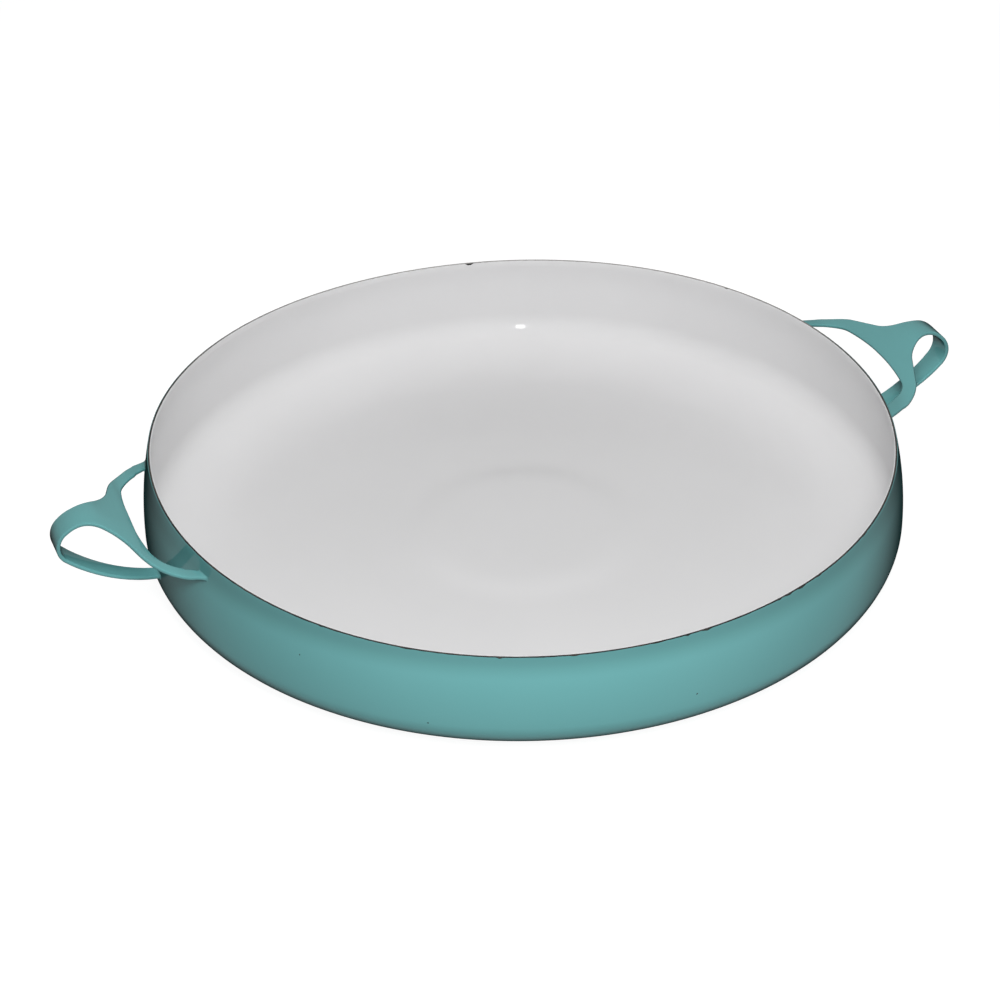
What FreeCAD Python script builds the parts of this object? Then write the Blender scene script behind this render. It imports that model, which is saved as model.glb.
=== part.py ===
import FreeCAD, Part
import math
import os

from FreeCAD import Vector

# Enamel paella pan: a pressed steel pan, white inside and coloured outside, with two folded strap handles.
# Lengths are millimetres. Z points up, the origin is the middle of the base and the handles lie along X.

# Pan
rim_diameter = 377.0        # across the outside of the rim
pan_depth = 60.0            # from the table to the top of the rim
wall_bulge = 4.9            # how far the wall swells beyond the rim at its widest
heel_height = 22.7          # from the table to the widest part of the wall
heel_width = 46.0           # from the widest part of the wall in to the flat base
knuckle_radius = 15.0       # tight bend at the outside of the heel
wall = 1.6                  # pressed sheet with the enamel fired on to both sides
crown_height = 0.8          # how far the middle of the base is stamped up off the table
crown_top_radius = 42.0     # flat top of the stamped middle
crown_slope_width = 26.0    # run of the slope round it

# Handle blank, seen from above: u runs outward from the rim and v runs along it
strap_thickness = 2.0       # handle sheet with its enamel
foot_half_span = 53.0       # outer edge of an arm where it reaches the wall
shoulder_reach = 21.7       # from the wall line at the feet out to the shoulder corner
foot_flare = 7.4            # how far the feet stand outside the shoulder corners
shoulder_radius = 26.0      # round of the shoulder
neck_reach = 36.4           # from the wall line at the feet out to the neck corner
neck_radius = 19.0          # round between shoulder and tongue
tongue_half_width = 7.3     # half the width of the tongue and the fold
arm_width = 5.5             # width of each arm at the wall
window_reach = 15.4         # from the rim out to the middle of the window's far edge
window_bow_share = 0.4      # share of that edge that its bowed middle takes
window_bow_slope = 11.2     # degrees that the edge turns back on either side of the bow
window_bow_fill = 0.75      # share of the middle that the bow's round takes
window_margin = 5.2         # from the shoulder corner in to the window's corner, before it is rounded
window_round_share = 0.47   # round of the window's two corners, to the window's half width
band_half_width = 4.2       # half the width of the lower band at the wall

# Handle side profile: the bends of the strap, from the arms' feet to the lower end
foot_drop = 3.9             # the middle of the sheet at the feet, below the rim
foot_slope = 5.1            # degrees that the arms climb away from the wall
arm_run = 14.8              # straight sheet from the wall line at the feet to the first bend
lift_bend = 22.3            # degrees that the sheet turns up at the plate
lift_radius = 24.0
tongue_run = 16.6           # straight sheet up the tongue
crown_bend = 65.9           # degrees that the tongue turns down over its crown
crown_radius = 16.0
nose_run = 1.2              # straight sheet before the fold
fold_bend = 96.0            # degrees turned by the fold at the tip
fold_radius = 10.6
band_bend = 37.2            # degrees that the lower band flattens on its way to the wall
band_radius = 75.0
wall_overrun = 14.0         # sheet drawn past the wall, which the wall trims away

# Derived places
rim_radius = rim_diameter / 2
belly_radius = rim_radius + wall_bulge
belly_z = heel_height
base_radius = belly_radius - heel_width
wall_arc_radius = ((pan_depth - belly_z) ** 2 + wall_bulge ** 2) / (2 * wall_bulge)
heel_radius = ((heel_width - knuckle_radius) ** 2 + heel_height ** 2 - knuckle_radius ** 2) / (
    2 * (heel_height - knuckle_radius))
wall_line = math.sqrt(rim_radius ** 2 - foot_half_span ** 2)   # x of the rim beside an arm's foot
shoulder_half_span = foot_half_span - foot_flare
window_half_span = shoulder_half_span - window_margin
window_radius = window_round_share * window_half_span
window_bow_half_span = window_bow_share * window_half_span
window_bow_radius = window_bow_fill * window_bow_half_span / math.tan(math.radians(window_bow_slope) / 2)
arm_spread = foot_flare / shoulder_reach


def point(x, z):
    """A point of the side view."""
    return Vector(x, 0, z)


def line(start, end):
    """A straight edge of the side view."""
    return Part.LineSegment(start, end).toShape()


def arc(centre, radius, first, last):
    """An edge of the side view on a circle, between two directions given in degrees."""
    turns = [math.radians(first + (last - first) * share) for share in (0, 0.5, 1)]
    return Part.Arc(*[centre + point(math.cos(turn), math.sin(turn)) * radius for turn in turns]).toShape()


def pan_side(inset):
    """Edges of the pan's side line from the axis out to the rim, moved into the sheet by inset."""
    crown_top = point(crown_top_radius, crown_height + inset)
    crown_foot = point(crown_top_radius + crown_slope_width, inset)
    heel_centre = point(base_radius, heel_radius)
    knuckle_centre = point(belly_radius - knuckle_radius, belly_z)
    wall_centre = point(belly_radius - wall_arc_radius, belly_z)
    to_knuckle = knuckle_centre - heel_centre
    join = math.degrees(math.atan2(to_knuckle.z, to_knuckle.x))
    rim = math.degrees(math.asin((pan_depth - belly_z) / (wall_arc_radius - inset)))
    return [
        line(point(0, crown_height + inset), crown_top),
        line(crown_top, crown_foot),
        line(crown_foot, point(base_radius, inset)),
        arc(heel_centre, heel_radius - inset, -90, join),
        arc(knuckle_centre, knuckle_radius - inset, join, 0),
        arc(wall_centre, wall_arc_radius - inset, 0, rim),
    ]


def side_ends(edges):
    """The two ends of a side line: on the axis and at the rim."""
    return edges[0].Vertexes[0].Point, edges[-1].Vertexes[-1].Point


def turned(edges):
    """The solid swept by a closed side outline about Z."""
    return Part.Face(Part.Wire(Part.__sortEdges__(edges))).revolve(Vector(0, 0, 0), Vector(0, 0, 1), 360)


def pan_body():
    """The pressed sheet between the pan's outer and inner side lines."""
    outer = pan_side(0)
    inner = pan_side(wall)
    closing = [line(start, end) for start, end in zip(side_ends(outer), side_ends(inner))]
    return turned(outer + inner + closing)


def pan_envelope():
    """The pan's outside, filled in to the axis and up to the rim."""
    outer = pan_side(0)
    axis_end, rim_end = side_ends(outer)
    rim_middle = point(0, pan_depth)
    return turned(outer + [line(axis_end, rim_middle), line(rim_middle, rim_end)])


class Strap:
    """The middle line of the handle's sheet in the side view, grown run by run and bend by bend."""

    def __init__(self, start, heading):
        self.place = start
        self.heading = math.radians(heading)
        self.above = []
        self.below = []

    def along(self):
        return point(math.cos(self.heading), math.sin(self.heading))

    def across(self):
        return point(-math.sin(self.heading), math.cos(self.heading)) * (strap_thickness / 2)

    def run(self, length):
        """Straight sheet."""
        end = self.place + self.along() * length
        for side, edges in ((1, self.above), (-1, self.below)):
            shift = self.across() * side
            edges.append(line(self.place + shift, end + shift))
        self.place = end

    def bend(self, angle, radius):
        """Sheet bent by angle degrees, up when it is positive."""
        turn = math.radians(angle)
        inward = math.copysign(1, turn)
        centre = self.place + self.across().normalize() * (radius * inward)
        first = math.degrees(self.heading) - 90 * inward
        for side, edges in ((1, self.above), (-1, self.below)):
            edges.append(arc(centre, radius - side * inward * strap_thickness / 2, first, first + angle))
        self.heading += turn
        self.place = centre - self.across().normalize() * (radius * inward)

    def sheet(self, half_width):
        """The sheet drawn so far as a solid of the given half width."""
        caps = [line(start, end) for start, end in zip(side_ends(self.above), side_ends(self.below))]
        profile = Part.Face(Part.Wire(Part.__sortEdges__(self.above + self.below + caps)))
        profile.translate(Vector(0, -half_width, 0))
        return profile.extrude(Vector(0, 2 * half_width, 0))


def upper_strap():
    """Side line of the arms, plate and tongue, as far as the outermost point of the fold."""
    slope = math.radians(foot_slope)
    start = point(wall_line - wall_overrun, pan_depth - foot_drop - wall_overrun * math.tan(slope))
    strap = Strap(start, foot_slope)
    strap.run(wall_overrun / math.cos(slope) + arm_run)
    strap.bend(lift_bend, lift_radius)
    strap.run(tongue_run)
    strap.bend(-crown_bend, crown_radius)
    strap.run(nose_run)
    strap.bend(-(90 + math.degrees(strap.heading)), fold_radius)
    return strap


def lower_strap(upper):
    """Side line of the fold's second half and of the band that returns to the wall."""
    nose_heading = foot_slope + lift_bend - crown_bend
    strap = Strap(upper.place, -90)
    strap.bend(-(fold_bend - (90 + nose_heading)), fold_radius)
    strap.bend(-band_bend, band_radius)
    strap.run(wall_overrun)
    return strap


def plan_prism(corners, rounds):
    """A tall prism over a plan outline, with the named corners rounded."""
    outline = [Vector(x, y, 0) for x, y in corners]
    prism = Part.Face(Part.makePolygon(outline + outline[:1])).extrude(Vector(0, 0, 2 * pan_depth))
    for (x, y), radius in rounds:
        upright = [edge for edge in prism.Edges
                   if all(math.hypot(v.X - x, v.Y - y) < 0.01 for v in edge.Vertexes)]
        prism = prism.makeFillet(radius, upright)
    return prism


def mirrored(corners):
    """Corners of one half, followed by the same corners on the other side of the X axis, in ring order."""
    return corners + [(x, -y) for x, y in reversed(corners)]


def blank_prism(tip_x):
    """Plan outline of the arms, shoulders and tongue."""
    shoulder = (wall_line + shoulder_reach, shoulder_half_span)
    neck = (wall_line + neck_reach, tongue_half_width)
    foot = (wall_line - wall_overrun, foot_half_span + arm_spread * wall_overrun)
    half = [foot, shoulder, neck, (tip_x, tongue_half_width)]
    rounds = [(corner, radius) for corner, radius in ((shoulder, shoulder_radius), (neck, neck_radius))]
    rounds += [((x, -y), radius) for (x, y), radius in rounds]
    return plan_prism(mirrored(half), rounds)


def window_prism():
    """Plan outline of the window between the arms, the plate and the wall."""
    bow = (rim_radius + window_reach, window_bow_half_span)
    turn_back = math.tan(math.radians(window_bow_slope))
    corner = (bow[0] - (window_half_span - window_bow_half_span) * turn_back, window_half_span)
    arm_inside = foot_half_span - arm_width * math.hypot(1, arm_spread)
    spread = (arm_inside - window_half_span) / (corner[0] - wall_line)
    inner_x = wall_line - wall_overrun
    half = [(inner_x, arm_inside + spread * wall_overrun), corner, bow]
    rounds = [(corner, window_radius), (bow, window_bow_radius)]
    rounds += [((x, -y), radius) for (x, y), radius in rounds]
    return plan_prism(mirrored(half), rounds)


def band_prism(tip_x):
    """Plan outline of the lower band, narrowing from the fold to the wall."""
    spread = (tongue_half_width - band_half_width) / (tip_x - belly_radius)
    inner_x = belly_radius - wall_overrun
    half = [(inner_x, band_half_width - spread * wall_overrun), (tip_x, tongue_half_width)]
    return plan_prism(mirrored(half), [])


def handle():
    """The strap handle on the +X side, folded from one sheet and trimmed to the wall."""
    upper = upper_strap()
    lower = lower_strap(upper)
    tip_x = upper.place.x + strap_thickness
    half_width = 2 * foot_half_span
    top = upper.sheet(half_width).common(blank_prism(tip_x)).cut(window_prism())
    bottom = lower.sheet(half_width).common(band_prism(tip_x))
    folded = top.fuse(bottom).removeSplitter()
    return folded.cut(pan_envelope())


def build():
    """Every piece of the pan by name."""
    right = handle()
    left = right.copy()
    left.rotate(Vector(0, 0, 0), Vector(0, 0, 1), 180)
    return {
        "pan_body": pan_body(),
        "handle_right": right,
        "handle_left": left,
    }


os.makedirs("parts", exist_ok=True)
for name, shape in build().items():
    shape.exportStep(os.path.join("parts", name + ".step"))
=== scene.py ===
import logging
import math
from dataclasses import dataclass, field
from enum import Enum

import bmesh
import bpy
from bmesh.types import BMesh, BMVert
from bpy.types import ID, Material, Node, NodeSocket, NodeTree, Object
from mathutils import Matrix, Vector, noise


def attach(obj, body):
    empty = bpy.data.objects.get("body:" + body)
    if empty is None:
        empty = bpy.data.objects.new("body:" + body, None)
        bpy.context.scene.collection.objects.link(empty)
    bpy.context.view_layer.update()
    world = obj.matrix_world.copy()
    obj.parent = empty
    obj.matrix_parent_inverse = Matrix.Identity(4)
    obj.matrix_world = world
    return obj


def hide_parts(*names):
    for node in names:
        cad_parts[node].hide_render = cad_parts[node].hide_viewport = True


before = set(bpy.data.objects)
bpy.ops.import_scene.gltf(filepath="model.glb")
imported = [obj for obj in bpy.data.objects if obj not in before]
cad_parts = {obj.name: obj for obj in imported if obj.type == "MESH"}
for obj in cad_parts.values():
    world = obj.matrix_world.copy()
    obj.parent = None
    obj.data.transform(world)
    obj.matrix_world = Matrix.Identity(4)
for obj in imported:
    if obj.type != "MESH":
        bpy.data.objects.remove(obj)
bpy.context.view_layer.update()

BODY = "root"
MM = 0.001
WELD_MERGE = 1e-4          # millimetres
PROFILE_AXIS = Vector((0.0, -1.0, 0.0))   # turns the side view anticlockwise, with X to the right and Z up
BAND_TAIL = 24.0           # millimetres by which the strap's middle line runs on into the pan
BAND_SEARCH = 40.0         # the band meets the wall within this length of the line's end
BLACK = (0.0, 0.0, 0.0)
WHITE = (1.0, 1.0, 1.0, 1.0)

Tone = tuple[float, float, float]

log = logging.getLogger("paella_pan")


class Slot(Enum):
    """The record's material slots."""

    TEAL = "teal_enamel"
    WHITE = "white_enamel"
    GROUND = "ground_coat"


class Side(Enum):
    """The two ends of the pan that carry a handle, with the turn about Z that takes the +X handle there."""

    RIGHT = 0.0
    LEFT = 180.0


Finishes = dict[Slot, Material]


# Meshes

def placed(name: str, data: ID) -> Object:
    """Put an object into the scene.

    Args:
        name: its name.
        data: its mesh, lamp or camera.

    Returns:
        The object, at the origin.
    """
    made = bpy.data.objects.new(name, data)
    bpy.context.scene.collection.objects.link(made)
    return made


def turned_about(axis: str, angle: float) -> Matrix:
    """A turn about an axis by an angle in degrees."""
    return Matrix.Rotation(math.radians(angle), 4, axis)


def held(value: float, low: float, high: float) -> float:
    """A value held between two others."""
    return min(max(value, low), high)


def whole(mesh: BMesh) -> list:
    """Every part of a bmesh."""
    return mesh.verts[:] + mesh.edges[:] + mesh.faces[:]


def add_mirror_image(mesh: BMesh, axis: str) -> None:
    """Add the mirror image of a bmesh along an axis."""
    bmesh.ops.mirror(mesh, geom=whole(mesh), matrix=Matrix.Identity(4), merge_dist=WELD_MERGE, axis=axis)


def side_point(x: float, z: float) -> Vector:
    """A point of the side view, in millimetres."""
    return Vector((x, 0.0, z))


def on_circle(centre: Vector, radius: float, angle: float) -> Vector:
    """The point of a side-view circle at an angle given in degrees."""
    turn = math.radians(angle)
    return centre + side_point(math.cos(turn), math.sin(turn)) * radius


class SideLine:
    """A line of the side view, drawn in a bmesh run by run and turn by turn."""

    def __init__(self, mesh: BMesh, start: Vector) -> None:
        """Put the first point down.

        Args:
            mesh: the bmesh that receives the line.
            start: where the line begins, in millimetres.
        """
        self.mesh = mesh
        self.first = mesh.verts.new(start)
        self.tip = self.first

    def run(self, end: Vector, pieces: int = 1) -> None:
        """Draw a straight stretch.

        Args:
            end: where the stretch ends.
            pieces: how many edges it gets.
        """
        step = (end - self.tip.co) / pieces
        for _ in range(pieces):
            grown = bmesh.ops.extrude_vert_indiv(self.mesh, verts=[self.tip])
            self.tip = grown["verts"][0]
            bmesh.ops.translate(self.mesh, verts=[self.tip], vec=step)

    def turn(self, centre: Vector, angle: float, pieces: int) -> None:
        """Draw an arc from the tip.

        Args:
            centre: the arc's centre.
            angle: degrees turned, anticlockwise when positive.
            pieces: how many edges it gets.
        """
        swept = bmesh.ops.spin(
            self.mesh, geom=[self.tip], cent=centre, axis=PROFILE_AXIS,
            angle=math.radians(angle), steps=pieces, use_duplicate=False,
        )
        self.tip = next(part for part in swept["geom_last"] if isinstance(part, BMVert))

    def close(self) -> None:
        """Join the tip to the first point."""
        self.mesh.edges.new((self.tip, self.first))


def turned(mesh: BMesh, steps: int) -> None:
    """Spin the drawn line about Z into a closed skin: a quarter, then its mirror images.

    Args:
        mesh: a bmesh that holds only the side line.
        steps: how many faces go round, a multiple of four.
    """
    bmesh.ops.spin(
        mesh, geom=mesh.verts[:] + mesh.edges[:], cent=Vector(), axis=Vector((0.0, 0.0, 1.0)),
        angle=math.tau / 4, steps=steps // 4, use_merge=False, use_duplicate=False,
    )
    for axis in ("X", "Y"):
        add_mirror_image(mesh, axis)
    bmesh.ops.remove_doubles(mesh, verts=mesh.verts[:], dist=WELD_MERGE)
    bmesh.ops.dissolve_degenerate(mesh, edges=mesh.edges[:], dist=WELD_MERGE)
    bmesh.ops.recalc_face_normals(mesh, faces=mesh.faces[:])


def finished(mesh: BMesh, name: str, sharp_angle: float = 40.0) -> Object:
    """Turn a bmesh drawn in millimetres into a smooth object at the origin, in metres.

    Args:
        mesh: the bmesh, which is freed.
        name: the piece's name.
        sharp_angle: edges that turn by more degrees than this stay crisp.

    Returns:
        The new object, linked to the scene.
    """
    bmesh.ops.scale(mesh, verts=mesh.verts[:], vec=Vector((MM, MM, MM)))
    open_edges = sum(1 for edge in mesh.edges if not edge.is_manifold)
    for face in mesh.faces:
        face.smooth = True
    data = bpy.data.meshes.new(name)
    mesh.to_mesh(data)
    mesh.free()
    data.set_sharp_from_angle(angle=math.radians(sharp_angle))
    piece = placed(name, data)
    log.info("%s: %d faces, %d open edges", name, len(data.polygons), open_edges)
    return piece


# The pan

@dataclass(frozen=True)
class PanForm:
    """Sizes of the pressed pan, in millimetres."""

    rim_diameter: float = 377.0
    depth: float = 60.0
    bulge: float = 4.9
    heel_height: float = 22.7
    heel_width: float = 46.0
    knuckle_radius: float = 15.0
    wall: float = 1.6
    crown_height: float = 1.5
    crown_top_radius: float = 42.0
    crown_slope_width: float = 26.0
    rim_lift: float = 1.04       # how far the worn rim stands above its depth on the whole
    rim_waves: tuple[tuple[float, float], ...] = ((-1.1, 0.37), (1.62, -0.92), (-0.41, 0.54))
    crown_pieces: int = 4        # edges across the raised middle, and so on outward
    step_pieces: int = 5
    ring_pieces: int = 5
    heel_pieces: int = 9
    knuckle_pieces: int = 10
    wall_pieces: int = 8

    @property
    def rim_radius(self) -> float:
        """Outside of the rim."""
        return self.rim_diameter / 2

    @property
    def belly_radius(self) -> float:
        """Outside of the wall at its widest."""
        return self.rim_radius + self.bulge

    @property
    def base_radius(self) -> float:
        """Edge of the flat base."""
        return self.belly_radius - self.heel_width

    @property
    def wall_arc_radius(self) -> float:
        """Radius of the wall's bow in the side view."""
        rise = self.depth - self.heel_height
        return (rise ** 2 + self.bulge ** 2) / (2 * self.bulge)

    @property
    def heel_radius(self) -> float:
        """Radius of the wide bend between base and knuckle."""
        inner = self.heel_width - self.knuckle_radius
        return (inner ** 2 + self.heel_height ** 2 - self.knuckle_radius ** 2) / (
            2 * (self.heel_height - self.knuckle_radius))

    @property
    def crown_foot_radius(self) -> float:
        """Where the base becomes flat."""
        return self.crown_top_radius + self.crown_slope_width

    @property
    def crown_arc_radius(self) -> float:
        """Radius of the two small bends of the stamped step in the base."""
        half = self.crown_slope_width / 2
        drop = self.crown_height / 2
        return (half ** 2 + drop ** 2) / (2 * drop)

    @property
    def crown_arc_angle(self) -> float:
        """Degrees turned by each small bend of the stamped step."""
        return math.degrees(math.asin(self.crown_slope_width / 2 / self.crown_arc_radius))

    @property
    def heel_centre(self) -> Vector:
        """Centre of the wide bend."""
        return side_point(self.base_radius, self.heel_radius)

    @property
    def knuckle_centre(self) -> Vector:
        """Centre of the tight bend."""
        return side_point(self.belly_radius - self.knuckle_radius, self.heel_height)

    @property
    def wall_centre(self) -> Vector:
        """Centre of the wall's bow."""
        return side_point(self.belly_radius - self.wall_arc_radius, self.heel_height)

    @property
    def knuckle_start(self) -> float:
        """Direction in degrees, from the bends' centres, in which the two bends of the heel meet."""
        way = self.knuckle_centre - self.heel_centre
        return math.degrees(math.atan2(way.z, way.x))

    def wall_turn(self, height: float, inset: float) -> float:
        """Direction in degrees, from the bow's centre, of the wall at a height."""
        return math.degrees(math.asin((height - self.heel_height) / (self.wall_arc_radius - inset)))

    def wall_point(self, height: float, inset: float) -> Vector:
        """The wall's point at a height above the knuckle, moved into the sheet by inset."""
        return on_circle(self.wall_centre, self.wall_arc_radius - inset, self.wall_turn(height, inset))

    def stretch(self, angle: float) -> float:
        """How much the wall above the knuckle is drawn up to the worn rim, at a direction in radians."""
        waves = sum(along * math.cos(number * angle) + across * math.sin(number * angle)
                    for number, (along, across) in enumerate(self.rim_waves, 1))
        return 1.0 + (self.rim_lift + waves) / (self.depth - self.heel_height)

    def put_out_of_level(self, mesh: BMesh) -> None:
        """Draw the wall of a turned skin up or down to the worn rim.

        Args:
            mesh: the skin, in millimetres.
        """
        for vertex in mesh.verts:
            rise = vertex.co.z - self.heel_height
            if rise > 0.0:
                vertex.co.z = self.heel_height + rise * self.stretch(math.atan2(vertex.co.y, vertex.co.x))

    def outer_radius(self, height: float, angle: float) -> float:
        """Distance of the outer face from the axis.

        Args:
            height: a height above the heel's wide bend.
            angle: direction round the pan, in radians.

        Returns:
            The distance in millimetres.
        """
        rise = height - self.heel_height
        if rise >= 0.0:
            return self.wall_point(self.heel_height + rise / self.stretch(angle), 0.0).x
        drop = min(-rise, self.knuckle_radius)
        return self.knuckle_centre.x + math.sqrt(self.knuckle_radius ** 2 - drop ** 2)

    def bends(self) -> tuple[tuple[Vector, float, int], ...]:
        """The bends from the crown to the wall.

        Returns:
            Each bend's centre, its degrees and its number of edges.
        """
        angle = self.crown_arc_angle
        step_top = side_point(self.crown_top_radius, self.crown_height - self.crown_arc_radius)
        step_foot = side_point(self.crown_foot_radius, self.crown_arc_radius)
        return ((step_top, -angle, self.step_pieces),
                (step_foot, angle, self.step_pieces),
                (self.heel_centre, self.knuckle_start + 90.0, self.heel_pieces),
                (self.knuckle_centre, -self.knuckle_start, self.knuckle_pieces))

    def draw_out(self, mesh: BMesh, inset: float, height: float) -> SideLine:
        """Draw the side line from the axis out and up the wall.

        Args:
            mesh: the bmesh that receives the line.
            inset: how far into the sheet the line lies.
            height: where on the wall it stops.

        Returns:
            The line, with its tip on the wall.
        """
        step_top, step_foot, heel, knuckle = self.bends()
        line = SideLine(mesh, side_point(0.0, self.crown_height + inset))
        line.run(side_point(self.crown_top_radius, self.crown_height + inset), self.crown_pieces)
        line.turn(*step_top)
        line.turn(*step_foot)
        line.run(side_point(self.base_radius, inset), self.ring_pieces)
        line.turn(*heel)
        line.turn(*knuckle)
        line.turn(self.wall_centre, self.wall_turn(height, inset), self.wall_pieces)
        return line

    def draw_back(self, line: SideLine, inset: float) -> None:
        """Carry a line that stands on the wall down and in to the axis.

        Args:
            line: the line.
            inset: how far into the sheet its way back lies.
        """
        step_top, step_foot, heel, knuckle = (
            (centre, -angle, pieces) for centre, angle, pieces in self.bends())
        line.turn(self.wall_centre, -self.wall_turn(line.tip.co.z, inset), self.wall_pieces)
        line.turn(*knuckle)
        line.turn(*heel)
        line.run(side_point(self.crown_foot_radius, inset), self.ring_pieces)
        line.turn(*step_foot)
        line.turn(*step_top)
        line.run(side_point(0.0, self.crown_height + inset), self.crown_pieces)


@dataclass(frozen=True)
class Chip:
    """A place on the rim where the enamel has broken away, in degrees round the rim and millimetres."""

    angle: float
    half_width: float
    depth: float


@dataclass
class PressedPan:
    """The pan: outer enamel, white lining and the bare rim between them."""

    form: PanForm = PanForm()
    round_steps: int = 720
    skin: float = 0.3            # thickness of the outer enamel at the rim
    lining_skin: float = 0.5     # thickness of the white lining
    core_overlap: float = 0.06   # how far the bare steel reaches into each enamel
    rim_zone: float = 7.0        # height below the rim in which the steel lies between the two enamels
    outer_gap: float = 0.25      # the outer enamel stops this far under the top of the rim
    inner_gap: float = 0.15
    edge_wave: float = 0.16      # how far the enamel's edge wanders
    edge_ripple: float = 0.12    # how far it wanders again, four times as finely
    edge_grain: float = 24.0     # how finely it wanders
    outer_seed: float = 3.1      # each face's edge wanders in its own way
    inner_seed: float = 8.6
    chips: tuple[Chip, ...] = (
        Chip(-115.2, 0.9, 0.8), Chip(-104.8, 1.6, 0.4), Chip(-85.5, 1.8, 0.6), Chip(-88.3, 0.8, 0.8),
        Chip(-73.0, 1.4, 0.4), Chip(-71.2, 1.3, 0.6), Chip(-68.6, 2.4, 0.5), Chip(-64.7, 1.6, 0.3),
        Chip(-93.0, 3.0, 0.25), Chip(-128.0, 2.0, 0.25), Chip(-141.0, 1.4, 0.3), Chip(-52.0, 2.2, 0.3),
        Chip(12.0, 2.0, 0.4), Chip(58.0, 1.8, 0.5), Chip(126.0, 2.2, 0.5), Chip(163.0, 1.6, 0.4),
    )
    inner_chips: tuple[Chip, ...] = (Chip(77.3, 2.0, 1.4), Chip(31.0, 1.4, 0.5), Chip(150.0, 1.6, 0.4))

    def enamel_edge(self, angle: float, height: float, chips: tuple[Chip, ...], seed: float) -> float:
        """Height at which an enamel stops under the rim.

        Args:
            angle: direction round the rim, in radians.
            height: the height without wear.
            chips: the chips of this face.
            seed: shifts the wandering of the edge.

        Returns:
            The height in millimetres.
        """
        place = Vector((math.cos(angle) * self.edge_grain, math.sin(angle) * self.edge_grain, seed))
        drop = self.edge_wave * (0.5 + 0.5 * noise.noise(place)) + self.edge_ripple * noise.noise(place * 4.0)
        for chip in chips:
            away = math.remainder(angle - math.radians(chip.angle), math.tau) * self.form.rim_radius
            share = abs(away) / chip.half_width
            if share < 1.0:
                drop += chip.depth * math.sqrt(1.0 - share ** 2)
        return height - drop

    def wear_edge(self, mesh: BMesh, inset: float, height: float,
                  chips: tuple[Chip, ...], seed: float) -> None:
        """Lower an enamel's upper edge to its worn line, with the wall just under it.

        Args:
            mesh: the turned enamel, in millimetres.
            inset: how deep in the sheet this enamel's face lies.
            height: where the enamel stops without wear.
            chips: the chips of this face.
            seed: shifts the wandering of the edge.
        """
        zone_foot = self.form.depth - self.rim_zone
        for vertex in [vertex for vertex in mesh.verts if vertex.co.z > zone_foot]:
            angle = math.atan2(vertex.co.y, vertex.co.x)
            edge = self.enamel_edge(angle, height, chips, seed)
            lowered = zone_foot + (vertex.co.z - zone_foot) * (edge - zone_foot) / (height - zone_foot)
            lean = self.form.wall_point(lowered, inset).x - self.form.wall_point(vertex.co.z, inset).x
            radius = math.hypot(vertex.co.x, vertex.co.y)
            scale = (radius + lean) / radius
            vertex.co = Vector((vertex.co.x * scale, vertex.co.y * scale, lowered))

    def outer_enamel(self) -> Object:
        """Build the coloured shell, from the base to the rim.

        Returns:
            The piece, undressed.
        """
        form = self.form
        top = form.depth - self.outer_gap
        zone_foot = form.depth - self.rim_zone
        deep = form.wall - self.lining_skin
        mesh = bmesh.new()
        half = self.skin / 2
        line = form.draw_out(mesh, 0.0, zone_foot)
        line.turn(form.wall_centre, form.wall_turn(top - half, 0.0) - form.wall_turn(zone_foot, 0.0), 6)
        line.turn(form.wall_point(top - half, half), 180.0, 4)
        line.run(form.wall_point(zone_foot, self.skin), pieces=5)
        line.run(form.wall_point(zone_foot, deep))
        form.draw_back(line, deep)
        turned(mesh, self.round_steps)
        self.wear_edge(mesh, 0.0, top, self.chips, self.outer_seed)
        form.put_out_of_level(mesh)
        return finished(mesh, "outer_enamel_shell")

    def lining(self) -> Object:
        """Build the white lining, from the base to the rim.

        Returns:
            The piece, undressed.
        """
        form = self.form
        top = form.depth - self.inner_gap
        mesh = bmesh.new()
        half = self.lining_skin / 2
        line = form.draw_out(mesh, form.wall - self.lining_skin, top - half)
        line.turn(form.wall_point(top - half, form.wall - half), 180.0, 4)
        form.draw_back(line, form.wall)
        turned(mesh, self.round_steps)
        self.wear_edge(mesh, form.wall, top, self.inner_chips, self.inner_seed)
        form.put_out_of_level(mesh)
        return finished(mesh, "white_lining")

    def bare_rim(self) -> Object:
        """Build the ring of bare, dark-coated steel that shows between the two enamels.

        Returns:
            The piece, undressed.
        """
        form = self.form
        low = form.depth - self.rim_zone
        outside = self.skin - self.core_overlap
        inside = form.wall - self.lining_skin + self.core_overlap
        half = (inside - outside) / 2
        shoulder = form.depth - half
        mesh = bmesh.new()
        line = SideLine(mesh, form.wall_point(low, outside))
        line.turn(form.wall_centre, form.wall_turn(shoulder, outside) - form.wall_turn(low, outside), 8)
        line.turn(form.wall_point(shoulder, outside + half), 180.0, 8)
        line.run(form.wall_point(low, inside), pieces=4)
        line.close()
        turned(mesh, self.round_steps)
        form.put_out_of_level(mesh)
        return finished(mesh, "bare_rim")

    def build(self, finishes: Finishes) -> list[Object]:
        """Build and dress the three pieces.

        Args:
            finishes: the materials of the pan.

        Returns:
            The pieces, riding on the pan's body.
        """
        made = ((self.outer_enamel(), Slot.TEAL), (self.lining(), Slot.WHITE), (self.bare_rim(), Slot.GROUND))
        return [dressed(piece, finishes, slot, "pan_body") for piece, slot in made]


# The handles

@dataclass(frozen=True)
class Leg:
    """One stretch of the strap's middle line: straight when radius is 0, else bent by angle degrees."""

    length: float = 0.0
    angle: float = 0.0
    radius: float = 0.0

    @property
    def span(self) -> float:
        """Length along the middle line."""
        return abs(math.radians(self.angle)) * self.radius if self.radius else self.length


@dataclass(frozen=True)
class Nudge:
    """How hand forming moved the strap at one place along it, in millimetres."""

    run: float
    near: tuple[float, float, float]     # outward from the pan, along the rim to the far side, and up
    far: tuple[float, float, float]
    near_wide: float = 0.0               # each edge of the near arm, away from its middle
    far_wide: float = 0.0


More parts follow.
